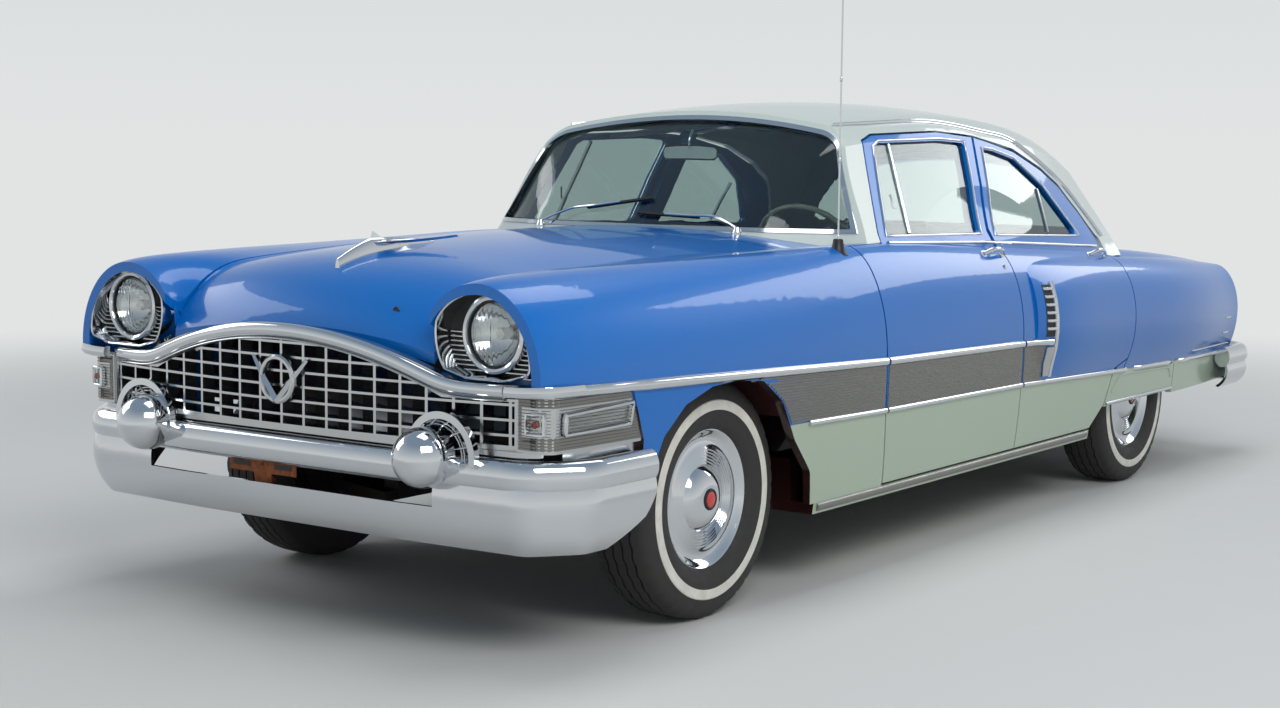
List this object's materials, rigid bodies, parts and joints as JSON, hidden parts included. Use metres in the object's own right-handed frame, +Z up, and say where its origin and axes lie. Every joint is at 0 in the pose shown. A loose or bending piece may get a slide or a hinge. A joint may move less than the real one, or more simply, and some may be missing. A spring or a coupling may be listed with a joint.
{
  "type": "classic car",
  "caption": "Full-size four-door saloon car of the 1950s with rolling, steered wheels, opening doors, hood and trunk lid.",
  "frame": {"origin": "on the ground, under the middle of the overall length and width", "axes": "+X forward towards the grille, +Y to the driver's left, +Z up"},
  "size_m": [5.55, 1.9856, 1.985],
  "materials": {
    "body_paint": "gloss",
    "roof_paint": "gloss",
    "frame_paint": "satin",
    "bright_trim": "polished",
    "tyre_rubber": "matte",
    "safety_glass": "gloss",
    "lamp_glass": "gloss",
    "red_glass": "gloss",
    "iron": "rough",
    "steel": "worn",
    "core": "matte",
    "cloth": "woven",
    "plastic": "gloss"
  },
  "bodies": {
    "body": {"chassis_frame": "frame_paint", "floor_pan": "frame_paint", "body_sides": "body_paint", "cowl": "body_paint", "roof": "roof_paint", "rear_deck": "body_paint", "tail_panel": "body_paint", "front_fenders": "body_paint", "quarter_panels": "body_paint", "fender_skirts": "body_paint", "front_wheelhouses": "frame_paint", "rear_wheelhouses": "frame_paint", "front_apron": "body_paint", "radiator": "core", "grille": "bright_trim", "front_bumper": "bright_trim", "rear_bumper": "bright_trim", "headlamps": "lamp_glass", "parking_lamps": "lamp_glass", "tail_lamps": "red_glass", "windscreen": "safety_glass", "back_light": "safety_glass", "screen_frames": "bright_trim", "engine_block": "iron", "front_seat": "cloth", "rear_seat": "cloth", "dashboard": "body_paint", "steering_column": "frame_paint", "front_suspension": "steel", "rear_axle": "steel", "exhaust": "steel", "fuel_tank": "frame_paint", "aerial": "bright_trim"},
    "knuckle_left": {"knuckle_left": "steel"},
    "knuckle_right": {"knuckle_right": "steel"},
    "wheel_front_left": {"wheel_front_left": "bright_trim", "tyre_front_left": "tyre_rubber"},
    "wheel_front_right": {"wheel_front_right": "bright_trim", "tyre_front_right": "tyre_rubber"},
    "wheel_rear_left": {"wheel_rear_left": "bright_trim", "tyre_rear_left": "tyre_rubber"},
    "wheel_rear_right": {"wheel_rear_right": "bright_trim", "tyre_rear_right": "tyre_rubber"},
    "steering_wheel": {"steering_wheel": "plastic"},
    "door_front_left": {"door_front_left": "body_paint", "glass_front_left": "safety_glass"},
    "door_front_right": {"door_front_right": "body_paint", "glass_front_right": "safety_glass"},
    "door_rear_left": {"door_rear_left": "body_paint", "glass_rear_left": "safety_glass"},
    "door_rear_right": {"door_rear_right": "body_paint", "glass_rear_right": "safety_glass"},
    "hood": {"hood": "body_paint"},
    "trunk_lid": {"trunk_lid": "body_paint"}
  },
  "joints": [
    {"name": "steering_wheel_turn", "type": "hinge", "parent": "body", "child": "steering_wheel", "pos_m": [0.4, 0.385, 1.01], "axis": [-0.866, 0, 0.5], "range_deg": [-640, 640]},
    {"name": "steer_left", "type": "hinge", "parent": "body", "child": "knuckle_left", "pos_m": [1.745, 0.655, 0.362], "axis": [0, 0, 1], "range_deg": [-32, 32]},
    {"name": "wheel_front_left_spin", "type": "hinge", "parent": "knuckle_left", "child": "wheel_front_left", "pos_m": [1.745, 0.7595, 0.362], "axis": [0, 1, 0], "continuous": true},
    {"name": "wheel_rear_left_spin", "type": "hinge", "parent": "body", "child": "wheel_rear_left", "pos_m": [-1.481, 0.7735, 0.362], "axis": [0, 1, 0], "continuous": true},
    {"name": "door_front_left_swing", "type": "hinge", "parent": "body", "child": "door_front_left", "pos_m": [0.869, 0.956, 0.7], "axis": [0, 0, -1], "range_deg": [0, 65]},
    {"name": "door_rear_left_swing", "type": "hinge", "parent": "body", "child": "door_rear_left", "pos_m": [-0.192, 0.956, 0.7], "axis": [0, 0, -1], "range_deg": [0, 65]},
    {"name": "steer_right", "type": "hinge", "parent": "body", "child": "knuckle_right", "pos_m": [1.745, -0.655, 0.362], "axis": [0, 0, 1], "range_deg": [-32, 32]},
    {"name": "wheel_front_right_spin", "type": "hinge", "parent": "knuckle_right", "child": "wheel_front_right", "pos_m": [1.745, -0.7595, 0.362], "axis": [0, 1, 0], "continuous": true},
    {"name": "wheel_rear_right_spin", "type": "hinge", "parent": "body", "child": "wheel_rear_right", "pos_m": [-1.481, -0.7735, 0.362], "axis": [0, 1, 0], "continuous": true},
    {"name": "door_front_right_swing", "type": "hinge", "parent": "body", "child": "door_front_right", "pos_m": [0.869, -0.956, 0.7], "axis": [0, 0, 1], "range_deg": [0, 65]},
    {"name": "door_rear_right_swing", "type": "hinge", "parent": "body", "child": "door_rear_right", "pos_m": [-0.192, -0.956, 0.7], "axis": [0, 0, 1], "range_deg": [0, 65]},
    {"name": "hood_lift", "type": "hinge", "parent": "body", "child": "hood", "pos_m": [1.083, 0, 1.134], "axis": [0, -1, 0], "range_deg": [0, 50]},
    {"name": "trunk_lid_lift", "type": "hinge", "parent": "body", "child": "trunk_lid", "pos_m": [-1.638, 0, 1.008], "axis": [0, 1, 0], "range_deg": [0, 70]}
  ],
  "couplings": [
    {"joint": "steer_left", "follows": "steering_wheel_turn", "ratio": 0.05},
    {"joint": "steer_right", "follows": "steering_wheel_turn", "ratio": 0.05}
  ]
}
